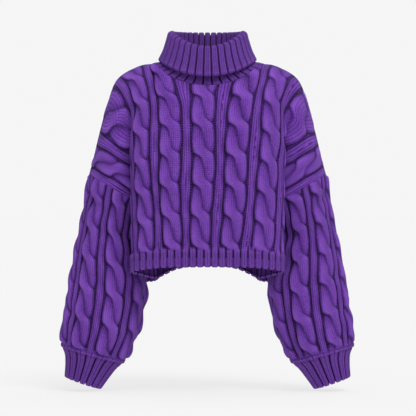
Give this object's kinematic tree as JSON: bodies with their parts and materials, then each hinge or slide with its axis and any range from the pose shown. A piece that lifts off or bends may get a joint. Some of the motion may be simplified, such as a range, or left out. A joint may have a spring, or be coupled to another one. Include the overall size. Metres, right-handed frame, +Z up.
{
  "type": "cropped cable-knit turtleneck sweater",
  "caption": "Hollow cropped cable-knit sweater with a folded turtleneck, dropped shoulders, wide balloon sleeves, ribbed cuffs and a ribbed hem.",
  "frame": {"origin": "the middle of the base of the neck, at the height of the shoulder seams' inner ends, where the wearer's neck and shoulders hold the sweater", "axes": "+Z up along the wearer, the front faces -Y, X runs from sleeve to sleeve"},
  "size_m": [0.6472, 0.2728, 0.7944],
  "materials": {
    "cable_knit": "chunky cable knit in soft matt yarn",
    "rib": "chunky rib knit in the same yarn"
  },
  "bodies": {
    "root": {"front_panel": "cable_knit", "back_panel": "cable_knit", "hem_rib_front": "rib", "hem_rib_back": "rib", "sleeve_left": "cable_knit", "sleeve_right": "cable_knit", "cuff_left": "rib", "cuff_right": "rib", "collar": "rib"}
  },
  "joints": []
}
